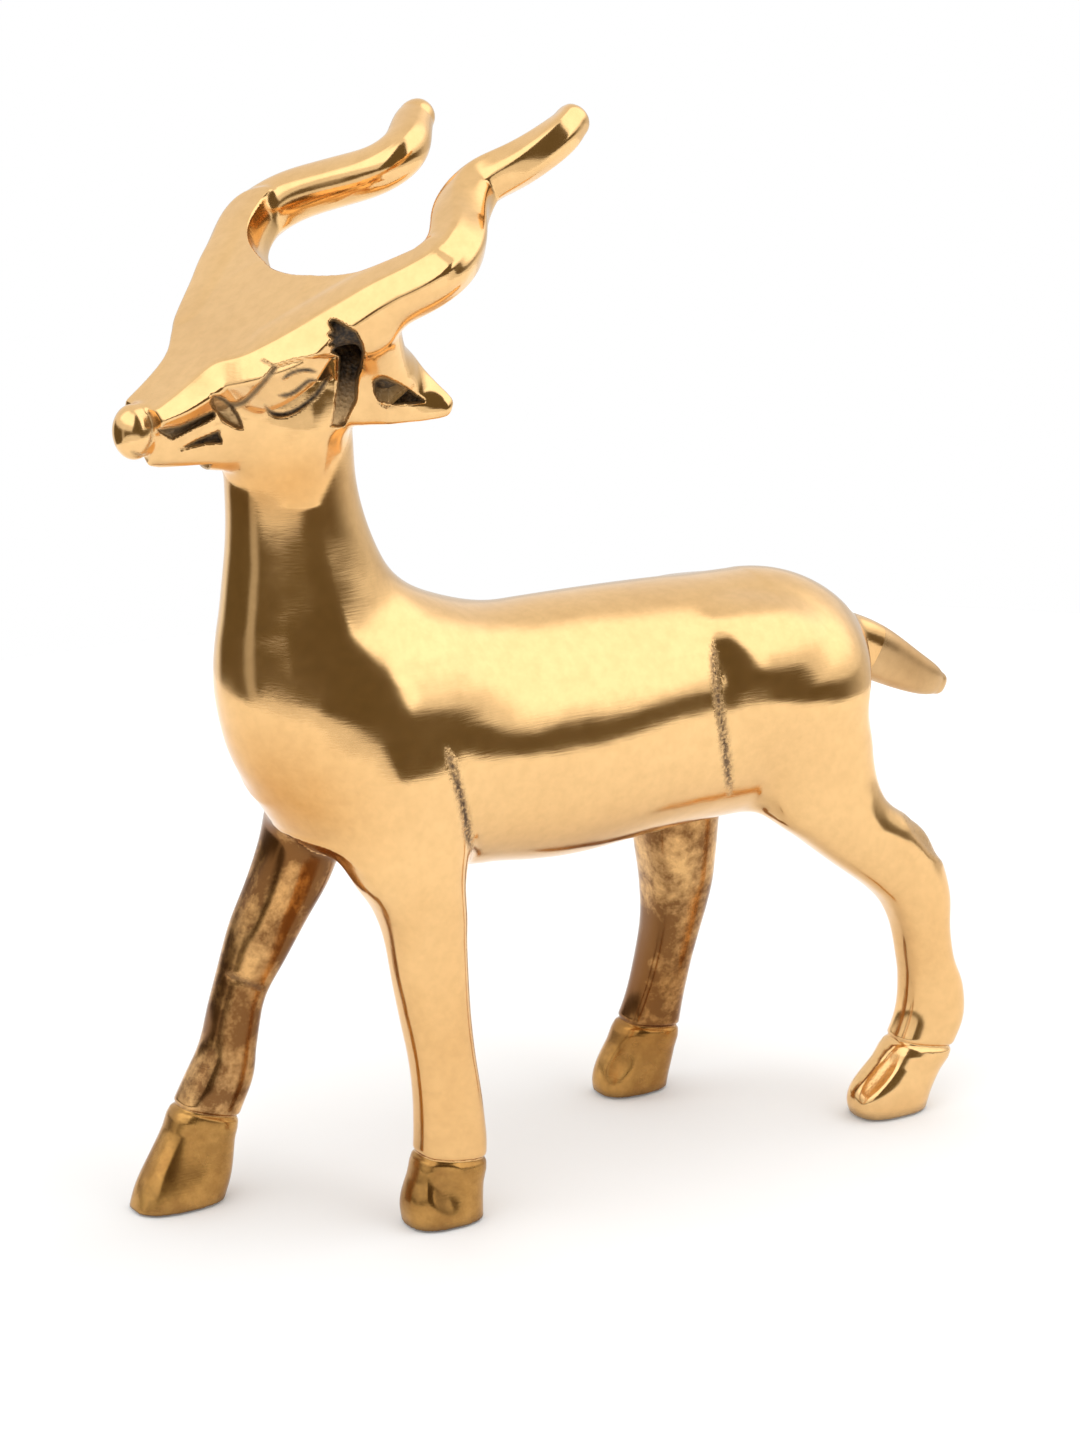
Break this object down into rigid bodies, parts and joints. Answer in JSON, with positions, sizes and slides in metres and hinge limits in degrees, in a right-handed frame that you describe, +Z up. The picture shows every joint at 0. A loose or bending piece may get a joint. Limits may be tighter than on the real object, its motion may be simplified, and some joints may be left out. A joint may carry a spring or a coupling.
{
  "type": "antelope statuette",
  "caption": "Polished cast brass walking antelope statuette with a flat face plate, twisted lyre horns, hollow trunk, dowelled legs and parted hooves, standing free with no base.",
  "frame": {"origin": "bottom centre of the bounding box, on the plane under the hooves", "axes": "+Z up, -X the way the animal walks, -Y its left side"},
  "size_m": [0.1812, 0.0685, 0.2063],
  "materials": {
    "polished_brass": "cast, filed and buffed to a near-mirror gloss, satin on the lower flanks and legs, dark patina left in chased lines and seams",
    "hoof_brass": "buffed facets, browner and less polished than the body, dark parting line above",
    "joining_brass": "drawn rod and filed plugs, brazed in, hidden or filed flush"
  },
  "bodies": {
    "root": {"torso_shell": "polished_brass", "head": "polished_brass", "left_horn": "polished_brass", "right_horn": "polished_brass", "left_ear": "polished_brass", "right_ear": "polished_brass", "tail": "polished_brass", "front_left_leg": "polished_brass", "front_right_leg": "polished_brass", "hind_left_leg": "polished_brass", "hind_right_leg": "polished_brass", "front_left_hoof": "hoof_brass", "front_right_hoof": "hoof_brass", "hind_left_hoof": "hoof_brass", "hind_right_hoof": "hoof_brass", "neck_spigot": "joining_brass", "neck_pin": "joining_brass", "tail_dowel": "joining_brass", "horn_dowels": "joining_brass", "ear_dowels": "joining_brass", "leg_dowels": "joining_brass", "hoof_dowels": "joining_brass", "core_plugs": "joining_brass"}
  },
  "joints": []
}
